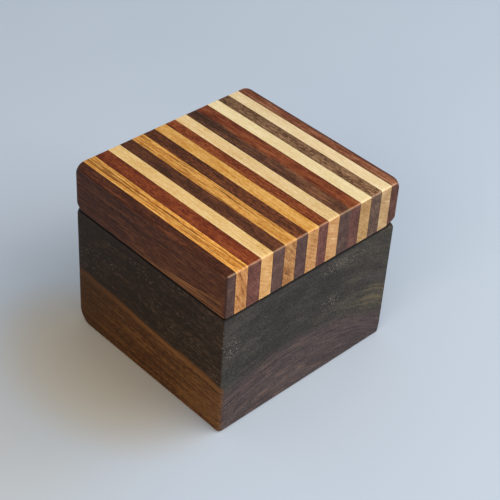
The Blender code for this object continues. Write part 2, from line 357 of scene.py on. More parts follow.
# Each strip's wood, as the screen colours from dark to light of its long faces and of its cut ends. The
# cut ends' colours also hold a painted cool sheen, which makes the dark strips' ends greyer and more
# purple than their wood.
# lean: how far its rings lean over from upright, in degrees, seen on the cut end
# slope: how far its figure drifts sideways for each millimetre along the strip
# drift: how much paler a strip is made from its middle to the front, and darker to the back, partly the
# wood's own change and partly painted light that falls off towards the back
# margin: how much paler the wood is next to its joints, or darker where it is less than nought
# cloud, fibre, fleck: strength of wide clouds, of long fibres and of short flecks
# line: strength of thin dark streaks
# ring: strength of the growth rings on the cut ends
STRIP_WOODS = {
    1: dict(
        face=((51, 27, 17), (78, 40, 25), (107, 61, 37)),
        end=((59, 41, 39), (83, 59, 52), (105, 79, 69)),
        lean=78, slope=0.02, drift=0.1, margin=-0.2,
        cloud=0.7, fibre=0.9, fleck=1.2, line=0.25, ring=1.1,
    ),
    2: dict(
        face=((176, 106, 38), (234, 164, 75), (255, 202, 117)),
        end=((134, 78, 37), (190, 130, 74), (221, 164, 107)),
        lean=22, slope=0.004, drift=0.2, margin=0.12,
        cloud=0.35, fibre=1.0, fleck=0.9, line=0.85, ring=1.8,
    ),
    3: dict(
        face=((88, 33, 18), (122, 55, 26), (154, 80, 42)),
        end=((84, 48, 41), (108, 66, 56), (133, 88, 76)),
        lean=35, slope=0.02, drift=0.17, margin=-0.2,
        cloud=0.8, fibre=0.6, fleck=1.3, line=0.15, ring=1.1,
    ),
    4: dict(
        face=((206, 159, 85), (233, 193, 127), (249, 221, 166)),
        end=((173, 118, 63), (214, 161, 99), (236, 193, 138)),
        lean=60, slope=0.01, drift=0.03, margin=0.07,
        cloud=0.5, fibre=0.5, fleck=0.7, line=0.1, ring=1.1,
    ),
    5: dict(
        face=((57, 33, 21), (90, 51, 32), (124, 73, 44)),
        end=((70, 49, 45), (93, 66, 59), (114, 86, 75)),
        lean=20, slope=0.01, drift=0.21, margin=-0.2,
        cloud=0.7, fibre=0.55, fleck=1.2, line=0.15, ring=1.1,
    ),
    6: dict(
        face=((165, 101, 38), (214, 151, 71), (238, 183, 102)),
        end=((103, 62, 29), (171, 117, 68), (199, 152, 96)),
        lean=38, slope=-0.02, drift=0.0, margin=0.08,
        cloud=0.5, fibre=1.0, fleck=0.9, line=0.85, ring=2.0,
    ),
    7: dict(
        face=((58, 31, 19), (91, 49, 28), (130, 73, 41)),
        end=((63, 44, 43), (84, 60, 55), (105, 79, 72)),
        lean=30, slope=-0.01, drift=0.25, margin=-0.2,
        cloud=0.7, fibre=0.6, fleck=1.5, line=0.15, ring=1.1,
    ),
    8: dict(
        face=((186, 118, 43), (218, 162, 81), (240, 192, 118)),
        end=((146, 92, 46), (192, 138, 84), (218, 169, 113)),
        lean=52, slope=-0.03, drift=0.09, margin=0.06,
        cloud=0.6, fibre=0.6, fleck=0.9, line=0.2, ring=1.1,
    ),
    9: dict(
        face=((88, 35, 16), (125, 60, 29), (161, 89, 46)),
        end=((82, 46, 39), (105, 63, 55), (130, 85, 73)),
        lean=15, slope=0.01, drift=-0.04, margin=-0.2,
        cloud=0.7, fibre=0.75, fleck=1.6, line=0.2, ring=1.1,
    ),
    10: dict(
        face=((209, 170, 105), (231, 197, 141), (248, 223, 176)),
        end=((164, 112, 61), (201, 149, 97), (225, 183, 130)),
        lean=65, slope=0.0, drift=-0.02, margin=0.06,
        cloud=0.5, fibre=0.5, fleck=0.8, line=0.1, ring=1.1,
    ),
    11: dict(
        face=((60, 36, 25), (91, 56, 39), (129, 86, 57)),
        end=((62, 45, 39), (85, 61, 55), (105, 83, 69)),
        lean=15, slope=0.012, drift=0.08, margin=-0.2,
        cloud=0.9, fibre=1.0, fleck=1.0, line=0.2, ring=1.1,
    ),
    12: dict(
        face=((221, 190, 134), (240, 217, 167), (254, 238, 198)),
        end=((145, 105, 59), (179, 139, 89), (208, 172, 121)),
        lean=50, slope=0.0, drift=0.0, margin=0.05,
        cloud=0.4, fibre=0.4, fleck=0.7, line=0.08, ring=1.1,
    ),
    13: dict(
        face=((71, 47, 32), (112, 80, 55), (158, 122, 90)),
        end=((69, 50, 43), (94, 71, 59), (121, 96, 80)),
        lean=30, slope=0.0, drift=0.18, margin=-0.2,
        cloud=0.7, fibre=0.5, fleck=1.8, line=0.15, ring=1.1,
    ),
    14: dict(
        face=((216, 183, 131), (237, 211, 164), (252, 233, 195)),
        end=((153, 115, 72), (187, 151, 107), (216, 185, 139)),
        lean=60, slope=0.0, drift=0.04, margin=0.05,
        cloud=0.5, fibre=0.4, fleck=0.7, line=0.08, ring=1.1,
    ),
    15: dict(
        face=((96, 47, 28), (135, 81, 55), (169, 117, 87)),
        end=((67, 39, 31), (89, 55, 46), (113, 78, 65)),
        lean=20, slope=0.0, drift=0.05, margin=-0.2,
        cloud=0.9, fibre=1.1, fleck=1.1, line=0.3, ring=1.1,
    ),
}
# The two-tone strip's red half, its long faces and its cut ends; the cut ends hold the same painted cool
# sheen
RED_HALF = dict(
    face=((90, 38, 19), (122, 60, 32), (151, 86, 50)),
    end=((71, 42, 37), (96, 59, 51), (119, 81, 67)),
)

# The strips that have a figure of their own, by number
SIDE_STRIP = 1
CORED_STRIP = 2
FEATHERED_STRIP = 6
TWO_TONE_STRIP = 11
FLECKED_STRIP = 13
RIGHT_STRIP = 15

# In all the finishes, three colours in a row are screen colours from dark to light. Two numbers for a
# place, a height or a reach are where a change starts and ends, in millimetres. Places are counted from
# the middle of the box's underside. A number in a sum is the weight of what it multiplies, and the weight
# of a cloud in a place is how many millimetres it moves it

# The marks that a whole piece of wood shares. Clouds, fibres and flecks each have their reach across
# the rings, along them and along the grain in millimetres, how many finer layers they have and how
# strong those are. Pores have their spacing across and along the grain, and how far from its middle,
# as a share of the spacing, a pore is full and ends
LID_MARKS = dict(
    clouds=(3.0, 3.0, 13.0, 2.0, 0.5),
    fibres=(0.55, 0.7, 12.0, 3.0, 0.7),
    flecks=(0.42, 0.5, 1.7, 2.0, 0.65),
    pores=(0.42, 2.2, 0.16, 0.30),
)
BASE_MARKS = dict(
    clouds=(4.0, 12.0, 22.0, 3.0, 0.6),
    fibres=(0.7, 2.4, 14.0, 3.0, 0.7),
    flecks=(0.6, 0.6, 2.0, 2.0, 0.7),
    pores=(0.75, 2.0, 0.10, 0.26),
)

# The bump that the marks make in an oiled face
GRAIN_DEPTH = 0.06 * MM
GRAIN_STRENGTH = 0.4

# How far the worn edges and their painted highlight reach, and where both are full, in millimetres from
# the edge
WEAR_AND_HIGHLIGHT_REACH = 1.3
WEAR_AND_HIGHLIGHT_FULL = 0.195


def worn_and_highlit_edges(board, low, high):
    """One on the edges of a box, rubbed by hands and sanding and made paler partly as a painted highlight;
    nought on the flats.
    """
    near = []
    for here, start, end in zip((board.x, board.y, board.z), low, high):
        past_side = abs(here - (start + end) / 2) - (end - start) / 2
        near.append(board.step(past_side, -WEAR_AND_HIGHLIGHT_REACH, -WEAR_AND_HIGHLIGHT_FULL))
    return board.clip(near[0] * near[1] + near[1] * near[2] + near[2] * near[0])


# How the rings of a strip wander: the reach of a bend along each axis, its width in millimetres, and
# how far apart the strips are cut from the noise
WANDER_REACH = (20, 17, 12)
WANDER_WIDTH = 1.2
WANDER_SPACING = 7.3


def lid_board(name, number):
    """A board for one strip of the lid, with its own leaning, drifting and wandering rings."""
    board = Board(name)
    look = STRIP_WOODS[number]
    wander = board.bumps(WANDER_REACH, shift=number * WANDER_SPACING) - 0.5
    drifted = board.x + board.y * look["slope"] + wander * WANDER_WIDTH
    turn = math.radians(look["lean"])
    through = drifted * math.cos(turn) + board.z * math.sin(turn)
    around = board.z * math.cos(turn) - drifted * math.sin(turn)
    board.lay(through, around, number, LID_MARKS)
    return board


# How strongly the marks show on a strip's long faces, and the flecks on its cut ends
CLOUD_GAIN = 1.6
FIBRE_GAIN = 2.4
FLECK_GAIN = 1.7
END_FLECK_GAIN = 1.3

# The growth rings of the cut ends and the thin dark streaks, given as the marks above are
END_RING = (0.5, 6.0, 60.0, 2.0, 0.6)
DARK_STREAK = (0.55, 1.6, 22.0, 2.0, 0.55)

# The pale flecks of the grey-brown strip
PALE_FLECK = (0.7, 1.3, 0.1, 0.34)

# How squarely a face has to look along the strips to be a cut end
LID_END_FACING = (0.8, 0.97)

# The glued joint and the paler or darker wood beside it, in millimetres from the joint
GLUE_LINE = 0.2
JOINT_MARGIN = 0.7


def strip_wood(name, number, low, high):
    """The wood of one strip of the lid, whose box is in millimetres."""
    board = lid_board(name, number)
    look = STRIP_WOODS[number]
    ground = board.clouds * (look["cloud"] * CLOUD_GAIN) + 0.5
    fibre = board.fibres * (look["fibre"] * FIBRE_GAIN)
    tone = ground + fibre + board.flecks * (look["fleck"] * FLECK_GAIN) - board.pores * 0.12
    ring = board.cloud(*END_RING) * look["ring"]
    end_tone = ground + ring + board.flecks * (look["fleck"] * END_FLECK_GAIN) - board.pores * 0.1
    face = board.ramp(tone, look["face"])
    end = board.ramp(end_tone, look["end"])
    if number in (CORED_STRIP, FEATHERED_STRIP):
        streak = tan_streaks(board, number, low, high)
        face = board.mix(streak * look["line"], face, TAN_STREAK)
    else:
        streak = board.fade(board.cloud(*DARK_STREAK), -0.15, -0.05)
        face = board.mix(streak * look["line"], face, srgb(*look["face"][0]))
    if number == SIDE_STRIP:
        face = side_figure(board, face, low, high)
    if number == TWO_TONE_STRIP:
        face = board.scaled(face, 1.14 - dark_back(board) * 0.3)
        red = red_half(board, low, high)
        face = board.mix(red, face, board.ramp(tone, RED_HALF["face"]))
        end = board.mix(red, end, board.ramp(end_tone, RED_HALF["end"]))
    if number == FLECKED_STRIP:
        face = board.mix(board.dots(*PALE_FLECK) * 0.45, face, srgb(*look["face"][2]))
    if number == RIGHT_STRIP:
        face = right_sides(board, face, low, high)
    # Paler towards the front and darker to the back, partly painted light falling off towards the back
    face = board.scaled(face, 1 - board.y * (look["drift"] * MM / HALF_DEPTH))
    colour = board.mix(board.facing("y", *LID_END_FACING), face, end)
    joint = near_joints(board, low, high, GLUE_LINE)
    margin = near_joints(board, low, high, JOINT_MARGIN) * look["margin"]
    wear_and_highlight = worn_and_highlit_edges(board, *LID_BOX)
    # The edges are made paler for wear and partly as a painted highlight
    colour = board.scaled(colour, (1 + wear_and_highlight * 0.12) * (1 + margin) * (1 - joint * 0.25))
    # A painted highlight along the edge between the lid's top and its front
    colour = board.mix(front_edge_highlight(board) * 0.27, colour, PAINTED_EDGE_HIGHLIGHT)
    roughness = 0.50 + board.fibres * 0.2 + board.pores * 0.08 - wear_and_highlight * 0.06
    height = board.fibres + board.flecks * 0.5 - board.pores * 0.5 - streak * (look["line"] * 0.3)
    return board.wire(colour, roughness, height, GRAIN_DEPTH, GRAIN_STRENGTH)


# The tan woods' long dark lines: their colour, how fast they follow each other across the rings, the
# waves in them, the stretches where they are strong, and the fine threads between them
TAN_STREAK = srgb(112, 60, 16)
TAN_LINE_PACE = 5.6
TAN_LINE_WAVE = (2.2, 4.0, 22.0, 3.0, 0.6)
TAN_LINE_STRETCH = (1.1, 2.0, 26.0, 2.0, 0.6)
TAN_THREAD = (0.4, 1.3, 36.0, 2.0, 0.6)

# The second strip's dark core: its marks, its reach from a place at this share of the width, and the
# plain wood left beside the two joints
CORE_CLOUD = (0.8, 2.0, 20.0)
CORE_SHARE = 0.4
CORE_REACH = (0.3, 1.4)
LEFT_PLAIN = (0.5, 1.2)
RIGHT_PLAIN = (0.3, 0.9)

# The sixth strip's slanting feathers, and where along it they take over from the lines
FEATHER = (0.42, 1.5, 9.0, 2.0, 0.6, 0.12)
FEATHER_EDGE = (3.0, 3.0, 12.0)
FEATHER_START = (-8, 14)
LINE_PATCH = (2.2, 3.0, 26.0, 2.0, 0.5)


def tan_streaks(board, number, low, high):
    """Dark lines of the tan woods: long ones side by side, and slanting feathers in one strip."""
    phase = board.through * TAN_LINE_PACE + board.cloud(*TAN_LINE_WAVE) * 16
    beat = board.math("SINE", phase) + board.math("SINE", phase * 0.43) * 0.6
    line = board.step(beat, 0.35, 1.1) * board.step(board.cloud(*TAN_LINE_STRETCH), -0.2, 0.04)
    thread = board.fade(board.cloud(*TAN_THREAD), -0.14, -0.05)
    lines = board.clip(line + thread * 0.7)
    if number == CORED_STRIP:
        inside = board.step(board.x - low.x, *LEFT_PLAIN) * board.step(high.x - board.x, *RIGHT_PLAIN)
        middle = low.x + (high.x - low.x) * CORE_SHARE
        core = board.fade(abs(board.x - middle), *CORE_REACH) * (board.cloud(*CORE_CLOUD) * 2 + 0.25)
        return board.clip(lines * (inside * 0.75 + 0.25) + core)
    back = board.step(board.y + board.cloud(*FEATHER_EDGE) * 30, *FEATHER_START)
    feather = board.fade(board.cloud(*FEATHER), -0.13, -0.02)
    shown = board.step(board.cloud(*LINE_PATCH), -0.16, 0.04) * (1 - back * 0.5)
    return board.clip(lines * shown + feather * back * 0.7)


# The lid's left side, which is the first strip's outer face: its marks and its wood
SIDE_STREAK = (0.6, 1.4, 20.0, 3.0, 0.75)
SIDE_FLECK = (0.7, 0.7, 3.0, 2.0, 0.7)
SIDE_WOOD = ((57, 28, 17), (94, 51, 31), (136, 84, 52))
SIDE_PALER = (-30, 40)

# The red band along the side's top: how far down it fades, and where it starts towards the back
RED_BAND = srgb(60, 22, 16)
RED_BAND_HEIGHT = (-2.6, -0.8)
RED_BAND_START = (-2, 22)

# The wedge of pale lines that grows towards the front: where and how high it rises from the foot,
# where its lines show and end, how many they are, how long, and their place in the noise
PALE_WEDGE = srgb(172, 114, 66)
WEDGE_RUN = (-16, 38)
WEDGE_RISE = 7.4
WEDGE_START_HEIGHT = 0.5
WEDGE_SHOWN = (-12, 8)
WEDGE_TIP = (34, 36)
WEDGE_LINES = 9
WEDGE_LINE_LENGTH = 50
WEDGE_SLICE = 4.0

# The pale line on the side's foot: how high it reaches and where it starts
FOOT_LINE_HEIGHT = (0.3, 0.8)
FOOT_LINE_START = (-12, 10)

# The wood where the side turns to the front, and how deep the side's figure goes into the strip
SIDE_FRONT = srgb(62, 40, 34)
SIDE_DEPTH = (0.5, 1.6)


def side_figure(board, face, low, high):
    """The first strip's outer side: long streaks, a wedge of pale lines along its foot, a red band."""
    forward = -board.y
    streak = board.cloud(*SIDE_STREAK) * 2.0 + board.cloud(*SIDE_FLECK) * 1.5
    tone = board.clouds * 0.5 + streak + board.step(forward, *SIDE_PALER) * 0.2 + 0.38
    wood = board.ramp(tone, SIDE_WOOD)

    top = board.step(board.z - high.z + board.clouds * 8, *RED_BAND_HEIGHT)
    band = top * board.step(board.y, *RED_BAND_START)
    wood = board.mix(band * 0.45, wood, RED_BAND)

    fan = (board.z - low.z) / (board.step(forward, *WEDGE_RUN) * WEDGE_RISE + WEDGE_START_HEIGHT)
    wedge = board.fade(fan + board.clouds * 0.4, 0.6, 1.0)
    spot = board.at(fan * WEDGE_LINES, WEDGE_SLICE, board.y / WEDGE_LINE_LENGTH)
    line = board.step(board.noise(spot, 3.0, 0.65) - 0.5, 0.0, 0.1)
    shown = line * board.fade(forward, *WEDGE_TIP) * board.step(forward, *WEDGE_SHOWN)
    wood = board.mix(wedge * shown, wood, PALE_WEDGE)

    start = board.step(forward + board.clouds * 20, *FOOT_LINE_START)
    foot = board.fade(board.z - low.z, *FOOT_LINE_HEIGHT) * start
    wood = board.mix(foot * 0.6, wood, PALE_WEDGE)

    wood = board.mix(board.facing("y", 0.15, 0.55), wood, SIDE_FRONT)
    side = board.fade(board.x - low.x, *SIDE_DEPTH) * (1 - board.facing("z", 0.3, 0.75))
    return board.mix(side, face, wood)


# The two-tone strip: where its dark half grows darker, how the line between the halves wanders, and
# how wide that line is
DARK_BACK = (-14, 16)
HALVES_WANDER = (2.5, 3.0, 18.0, 3.0, 0.6)
HALVES_BLEND = 0.6


def dark_back(board):
    """One over the back of the two-tone strip, nought over its front."""
    return board.step(board.y + board.clouds * 30, *DARK_BACK)


def red_half(board, low, high):
    """One in the red half of the two-tone strip, nought in its near-black half."""
    past_middle = board.x - (low.x + high.x) / 2 + board.cloud(*HALVES_WANDER) * 5
    return board.step(past_middle, -HALVES_BLEND, HALVES_BLEND)


# The last strip: a dark rim at its joint, and painted shade over its outer side, in millimetres from each
JOINT_RIM = srgb(92, 54, 28)
JOINT_RIM_REACH = (0.2, 1.0)
PAINTED_SHADE_OUTER_SIDE = srgb(74, 46, 42)
OUTER_SHADE_REACH = (-1.5, -0.8)


def right_sides(board, face, low, high):
    """The last strip's two sides: a dark rim at its joint, and painted shade over its outer side."""
    rim = board.fade(board.x - low.x, *JOINT_RIM_REACH)
    face = board.mix(rim * 0.6, face, JOINT_RIM)
    # Painted shade over the outer side and its rounded top edge
    outer_shade = board.step(board.x - high.x + board.clouds, *OUTER_SHADE_REACH)
    return board.mix(outer_shade * 0.8, face, PAINTED_SHADE_OUTER_SIDE)


def near_joints(board, low, high, width):
    """One at a strip's glued joints, nought from a width away."""
    return board.clip(board.fade(board.x - low.x, 0, width) + board.fade(high.x - board.x, 0, width))


# The painted highlight along the edge between the lid's top and its front, in millimetres inside both, and
# its patches
PAINTED_EDGE_HIGHLIGHT = srgb(236, 196, 156)
FRONT_EDGE = (-0.55, -0.3)
FRONT_EDGE_CLOUD = (2.0, 2.0, 2.0)


def front_edge_highlight(board):
    """One on the thin painted highlight along the edge between the lid's top and its front."""
    low, high = LID_BOX
    corner = board.step(low.y - board.y, *FRONT_EDGE) * board.step(board.z - high.z, *FRONT_EDGE)
    return corner * (board.cloud(*FRONT_EDGE_CLOUD) * 1.6 + 0.9)


# The base block's rings bend over a pith far below it. Past one ring the wood is dark, and short of it
# brown
PITH_X = -7.7
PITH_Z = -71.0
PITH_SLOPE = 0.047
DARK_RADIUS = 98.0
BASE_SEED = 3
SWAY_REACH = (28, 34, 28)
SWAY_WIDTH = 3

# The dark wood's long faces, and the crowds of pale pores in them
DARK_LONG = ((29, 19, 9), (42, 29, 18), (74, 55, 40))
DARK_PALER = (0, 34)
PORE_CROWD = (7.0, 7.0, 16.0, 2.0, 0.6)
LONG_PORE = srgb(130, 117, 112)

# The brown wood's long faces: long marks, dark threads, a lighter rim below the dark wood, a dark back
BROWN_LONG = ((48, 25, 8), (80, 46, 18), (114, 74, 36))
BROWN_PALER = (-10, 36)
BROWN_MARK = (0.55, 3.0, 34.0, 2.0, 0.65)
BROWN_THREAD = (0.8, 4.0, 30.0, 2.0, 0.6)
THREAD_BROWN = srgb(50, 28, 14)
BROWN_RIM = srgb(124, 78, 38)
BROWN_RIM_REACH = (-3.6, -1.2)
BROWN_BACK = srgb(53, 32, 10)
BROWN_BACK_START = (0, 34)

# How squarely a face of the block has to look along it to be a cut end, how far from the left corner
# that end keeps some of the long faces' wood, and the shadow below the seam
BASE_END_FACING = (0.35, 0.75)
TURNED_CORNER = (0.7, 1.6)
SEAM_SHADOW = (-0.75, -0.4)


def base_wood():
    """The base block's wood: near-black over orange-brown, in one solid."""
    board = Board("base_wood")
    low, high = BASE_BOX
    across = board.x - PITH_X
    upward = board.z - PITH_Z - board.y * PITH_SLOPE
    sway = board.bumps(SWAY_REACH) - 0.5
    radius = board.math("SQRT", across * across + upward * upward) + sway * SWAY_WIDTH
    board.lay(radius, across, BASE_SEED, BASE_MARKS)
    past_ring = radius - DARK_RADIUS + board.clouds * 4 + board.fibres * 1.5 + board.flecks * 1.5
    dark = board.step(past_ring, -1.1, 0.8)
    face = board.mix(dark, brown_long(board, past_ring, dark), dark_long(board))
    turned_corner = board.fade(board.x - low.x, *TURNED_CORNER) * (1 - dark)
    cut_end = board.facing("y", *BASE_END_FACING) * (1 - turned_corner * 0.6)
    colour = board.mix(cut_end, face, base_end(board, past_ring))
    wear_and_highlight = worn_and_highlit_edges(board, low, high)
    shaded = board.step(board.z - high.z, *SEAM_SHADOW)
    # The edges are made paler for wear and partly as a painted highlight, and the seam gets its painted
    # shadow
    colour = board.scaled(colour, (1 + wear_and_highlight * 0.15) * (1 - shaded * 0.75))
    roughness = 0.52 + board.fibres * 0.2 + board.pores * 0.06 - wear_and_highlight * 0.05
    height = board.fibres + board.flecks * 0.6 - board.pores * 0.5
    return board.wire(colour, roughness, height, GRAIN_DEPTH, GRAIN_STRENGTH)


def dark_long(board):
    """The dark wood's long faces: a little paler towards the front, with crowds of pale pores."""
    marks = board.clouds * 0.9 + board.fibres * 1.8 + board.flecks * 2.2
    colour = board.ramp(marks + board.step(-board.y, *DARK_PALER) * 0.28 + 0.31, DARK_LONG)
    crowd = board.step(board.cloud(*PORE_CROWD), -0.04, 0.16)
    return board.mix(board.pores * crowd * 0.5, colour, LONG_PORE)


def brown_long(board, past_ring, dark):
    """The brown wood's long faces: dark threads in it, and lightest just under the dark wood."""
    marks = board.clouds + board.fibres * 1.3 + board.cloud(*BROWN_MARK) * 1.9 + board.flecks * 1.7
    colour = board.ramp(marks + board.step(-board.y, *BROWN_PALER) * 0.22 + 0.44, BROWN_LONG)
    thread = board.fade(board.cloud(*BROWN_THREAD), -0.2, -0.06)
    colour = board.mix(thread * 0.4, colour, THREAD_BROWN)
    rim = board.step(past_ring, *BROWN_RIM_REACH) * (1 - dark)
    colour = board.mix(rim * 0.4, colour, BROWN_RIM)
    return board.mix(board.step(board.y, *BROWN_BACK_START) * 0.5, colour, BROWN_BACK)


# The block's cut ends: the arched rings, and the wide patches that are paler or darker. A patch has
# its place across and above the middle of the foot, its reach both ways and its strength. The ends'
# colours also hold a painted cool sheen, which makes them greyer and more purple than the long faces' wood
END_ARC = (0.8, 14.0, 60.0, 3.0, 0.7)
END_PATCHES = ((-31, 30, 10, 8, 0.1), (27, 20, 18, 8, 0.09), (-20, 21, 10, 8, -0.07))
END_BLEND = (-6.5, -0.5)

# The brown wood's cut ends: darker to both sides, with light dashes that grow fewer to the right
BROWN_END = ((53, 43, 43), (76, 64, 63), (106, 91, 86))
BROWN_END_RIGHT = (6, 30)
BROWN_END_LEFT = (-34, -12)
END_DASH = (0.75, 8.0, 40.0, 1.0, 0.5)
DASH_BROWN = srgb(117, 93, 80)
FEWER_DASHES = (-10, 26)

# The dark wood's cut ends: grey on the left and warmer on the right, and paler at the left edge
DARK_END_COOL = ((33, 31, 29), (51, 48, 45), (79, 74, 66))
DARK_END_WARM = ((37, 33, 29), (58, 53, 47), (90, 82, 68))
WARM_START = (-6, 30)
DARK_END_LEFT = (-36, -14)

# Two tinted rings on the right of them: where each rises and falls on the way out from the pith, where
# it starts, and the marks in the olive one
OLIVE = srgb(108, 94, 68)
OLIVE_RINGS = (95, 99, 104, 107.5)
OLIVE_START = (14, 32)
OLIVE_MARK = (0.9, 9.0, 30.0, 2.0, 0.6)
BLUE_GREY = srgb(68, 64, 72)
BLUE_RINGS = (106, 108, 109, 111)
BLUE_START = (18, 34)

# The pale pores, and the places where they crowd
END_PORES = (0.62, 2.0, 0.12, 0.30)
END_PORE = srgb(172, 164, 148)
END_CROWDS = (
    (-34.5, 35, 4, 5, 1.0), (9.5, 29, 6, 3, 0.8), (14, 44, 13, 3, 0.7), (-24, 10.5, 5, 2.5, 0.6),
)


def base_end(board, past_ring):
    """The block's cut ends: grey-black with pale pores over purple-brown, both with arched rings; their
    grey and purple are partly a painted cool sheen.
    """
    arc = board.cloud(*END_ARC)
    patch = board.patches(END_PATCHES)
    soft = board.step(past_ring + board.clouds * 6, *END_BLEND)
    return board.mix(soft, brown_end(board, arc, patch), dark_end(board, arc, patch))


def brown_end(board, arc, patch):
    """The brown wood's cut ends."""
    tone = patch + arc * 1.4 + board.clouds * 0.5 + board.fibres * 0.7 + board.flecks * 1.6 + 0.46
    darker = board.step(board.x, *BROWN_END_RIGHT) * 0.12 + board.fade(board.x, *BROWN_END_LEFT) * 0.05
    colour = board.ramp(tone - darker, BROWN_END)
    dash = board.step(board.cloud(*END_DASH), 0.07, 0.13)
    return board.mix(dash * (0.48 - board.step(board.x, *FEWER_DASHES) * 0.3), colour, DASH_BROWN)


def dark_end(board, arc, patch):
    """The dark wood's cut ends."""
    tone = patch + arc * 0.7 + board.clouds + board.fibres * 0.6 + board.flecks * 1.5 + 0.48
    tone = tone + board.fade(board.x, *DARK_END_LEFT) * 0.14
    right = board.step(board.x + board.clouds * 30, *WARM_START)
    colour = board.mix(right, board.ramp(tone, DARK_END_COOL), board.ramp(tone, DARK_END_WARM))

    olive = board.band(board.through, *OLIVE_RINGS) * board.step(board.x, *OLIVE_START)
    olive = olive * board.step(board.cloud(*OLIVE_MARK), -0.06, 0.12)
    colour = board.mix(olive * 0.6, colour, OLIVE)
    blue = board.band(board.through, *BLUE_RINGS) * board.step(board.x, *BLUE_START)
    colour = board.mix(blue * 0.25, colour, BLUE_GREY)

    crowd = board.clip(board.patches(END_CROWDS) + 0.12)
    return board.mix(board.dots(*END_PORES) * crowd, colour, END_PORE)


# The metal of the pin and of the magnets: its colour and how rough it is. Its rings and stains have
# their reach along each axis, and fourteen of the fine rings go to a millimetre
METALS = {
    "pivot_pin": ((0.56, 0.57, 0.58), 0.25),
    "lid_magnet": ((0.64, 0.64, 0.62), 0.15),
    "base_magnet": ((0.64, 0.64, 0.62), 0.15),
}
METAL_RINGS = (2.5, 2.5, 1 / 14)
METAL_STAINS = (2, 2, 2)
METAL_RING_DEPTH = 0.02 * MM
METAL_RING_STRENGTH = 0.3
STAIN_DARKNESS = 0.82


def bright_metal(name, tint, rough):
    """Turned or plated metal with fine rings from turning."""
    sheet = Sheet(name)
    rings = sheet.bumps(METAL_RINGS, 3.0, 0.6)
    stains = sheet.bumps(METAL_STAINS, 4.0, 0.6)
    stained = sheet.mix(stains, tint, tuple(part * STAIN_DARKNESS for part in tint))
    colour = sheet.scaled(stained, 0.95 + rings * 0.1)
    sheet.feed(sheet.shader.inputs["Metallic"], 1.0)
    return sheet.wire(colour, rough + stains * 0.12, rings, METAL_RING_DEPTH, METAL_RING_STRENGTH)


def add_object(name, data):
    """A new object in the scene."""
    made = bpy.data.objects.new(name, data)
    bpy.context.scene.collection.objects.link(made)
    return made


def put(name, points, faces):
    """Make a piece from points and faces, shaded smooth up to an angle."""
    mesh = bpy.data.meshes.new(name)
    mesh.from_pydata(points.tolist(), [], faces)
    mesh.validate()
    mesh.shade_smooth()
    mesh.set_sharp_from_angle(angle=SMOOTH_ANGLE)
    return add_object(name, mesh)


def ring_faces(rings, count):
    """Quads between closed rings of as many points each, and a face over each end."""
    ring, this = np.meshgrid(np.arange(rings - 1), np.arange(count), indexing="ij")
    following = (this + 1) % count
    quads = np.stack([
        ring * count + this,
        ring * count + following,
        (ring + 1) * count + following,
        (ring + 1) * count + this,
    ], -1).reshape(-1, 4).tolist()
    first = list(range(count))
    last = list(range((rings - 1) * count, rings * count))
    return quads + [first[::-1], last]


def inner_shares(count):
    """Shares at even steps between nought and one, without the two."""
    return np.linspace(0, 1, count + 2)[1:-1]


def swell(depth, reach):
    """How far a corner has grown rounder at a depth from an end: a parabola over its reach."""
    return np.clip(1 - depth / reach, 0, 1) ** 2


def lid_side_profile(x):
    """The heights of the points up the lid's front and back, and how far the rounded edges draw them in.

    At each end there is a quarter circle and then the reach over which the corners grow rounder. At a
    station near the lid's own side the quarter circle starts part of the way round.
    """
    spare = np.clip(HALF_WIDTH - np.abs(x), 0, None)
    shares = np.linspace(0, 1, ARC_STEPS + 1)[None, :]
    steps = np.linspace(0, 1, REACH_STEPS + 1)[None, 1:]
    heights = []
    insets = []
    for end, inward, rounding, reach in (
        (LID_LOW.z, 1, LID_SEAM_ROUND, LID_SEAM_REACH),
        (LID_HIGH.z, -1, LID_TOP_ROUND, LID_TOP_REACH),
    ):
        first = np.arcsin(np.clip(1 - spare / rounding, 0, 1))
        angle = first + (math.pi / 2 - first) * shares
        depth = rounding * (1 - np.cos(angle))
        beyond = rounding + (reach - rounding) * steps + 0 * spare
        heights.append(end + inward * np.concatenate([depth, beyond], 1))
        insets.append(np.concatenate([rounding * (1 - np.sin(angle)), 0 * beyond], 1))
    low, high = heights
    straight = low[:, -1:] + (high[:, -1:] - low[:, -1:]) * inner_shares(SIDE_STEPS)[None, :]
    height = np.concatenate([low, straight, high[:, ::-1]], 1)
    inset = np.concatenate([insets[0], 0 * straight, insets[1][:, ::-1]], 1)
    return height, inset


def lid_half_depth(x, height, inset, corners):
    """Half the lid's depth at each station and height: a rectangle with a round right and left corner."""
    right, left = corners
    plain, seam, crown = (
        np.where(x > 0, rounds[right], rounds[left])
        for rounds in (UPRIGHT_CORNERS, LID_SEAM_CORNERS, LID_TOP_CORNERS)
    )
    corner = plain + swell(height - LID_LOW.z, LID_SEAM_REACH) * (seam - plain)
    corner = corner + swell(LID_HIGH.z - height, LID_TOP_REACH) * (crown - plain)
    beyond = np.clip(np.abs(x) - (HALF_WIDTH - corner), 0, None)
    return HALF_DEPTH - corner + np.sqrt(np.clip((corner - inset) ** 2 - beyond ** 2, 0, None))


def lid_sections(stations):
    """The lid's outline across the strips at each station: y and z of every point round it."""
    x = stations[:, None]
    height, inset = lid_side_profile(x)
    back = lid_half_depth(x, height, inset, BACK_CORNERS)
    front = lid_half_depth(x, height, inset, FRONT_CORNERS)
    across = inner_shares(FLAT_STEPS)[None, :]
    bottom_y = -front[:, :1] + (back[:, :1] + front[:, :1]) * across
    bottom_z = np.repeat(height[:, :1], FLAT_STEPS, 1)
    top_y = back[:, -1:] - (back[:, -1:] + front[:, -1:]) * across
    top_z = np.repeat(height[:, -1:], FLAT_STEPS, 1)
    y = np.concatenate([bottom_y, back, top_y, -front[:, ::-1]], 1)
    z = np.concatenate([bottom_z, height, top_z, height[:, ::-1]], 1)
    return y, z


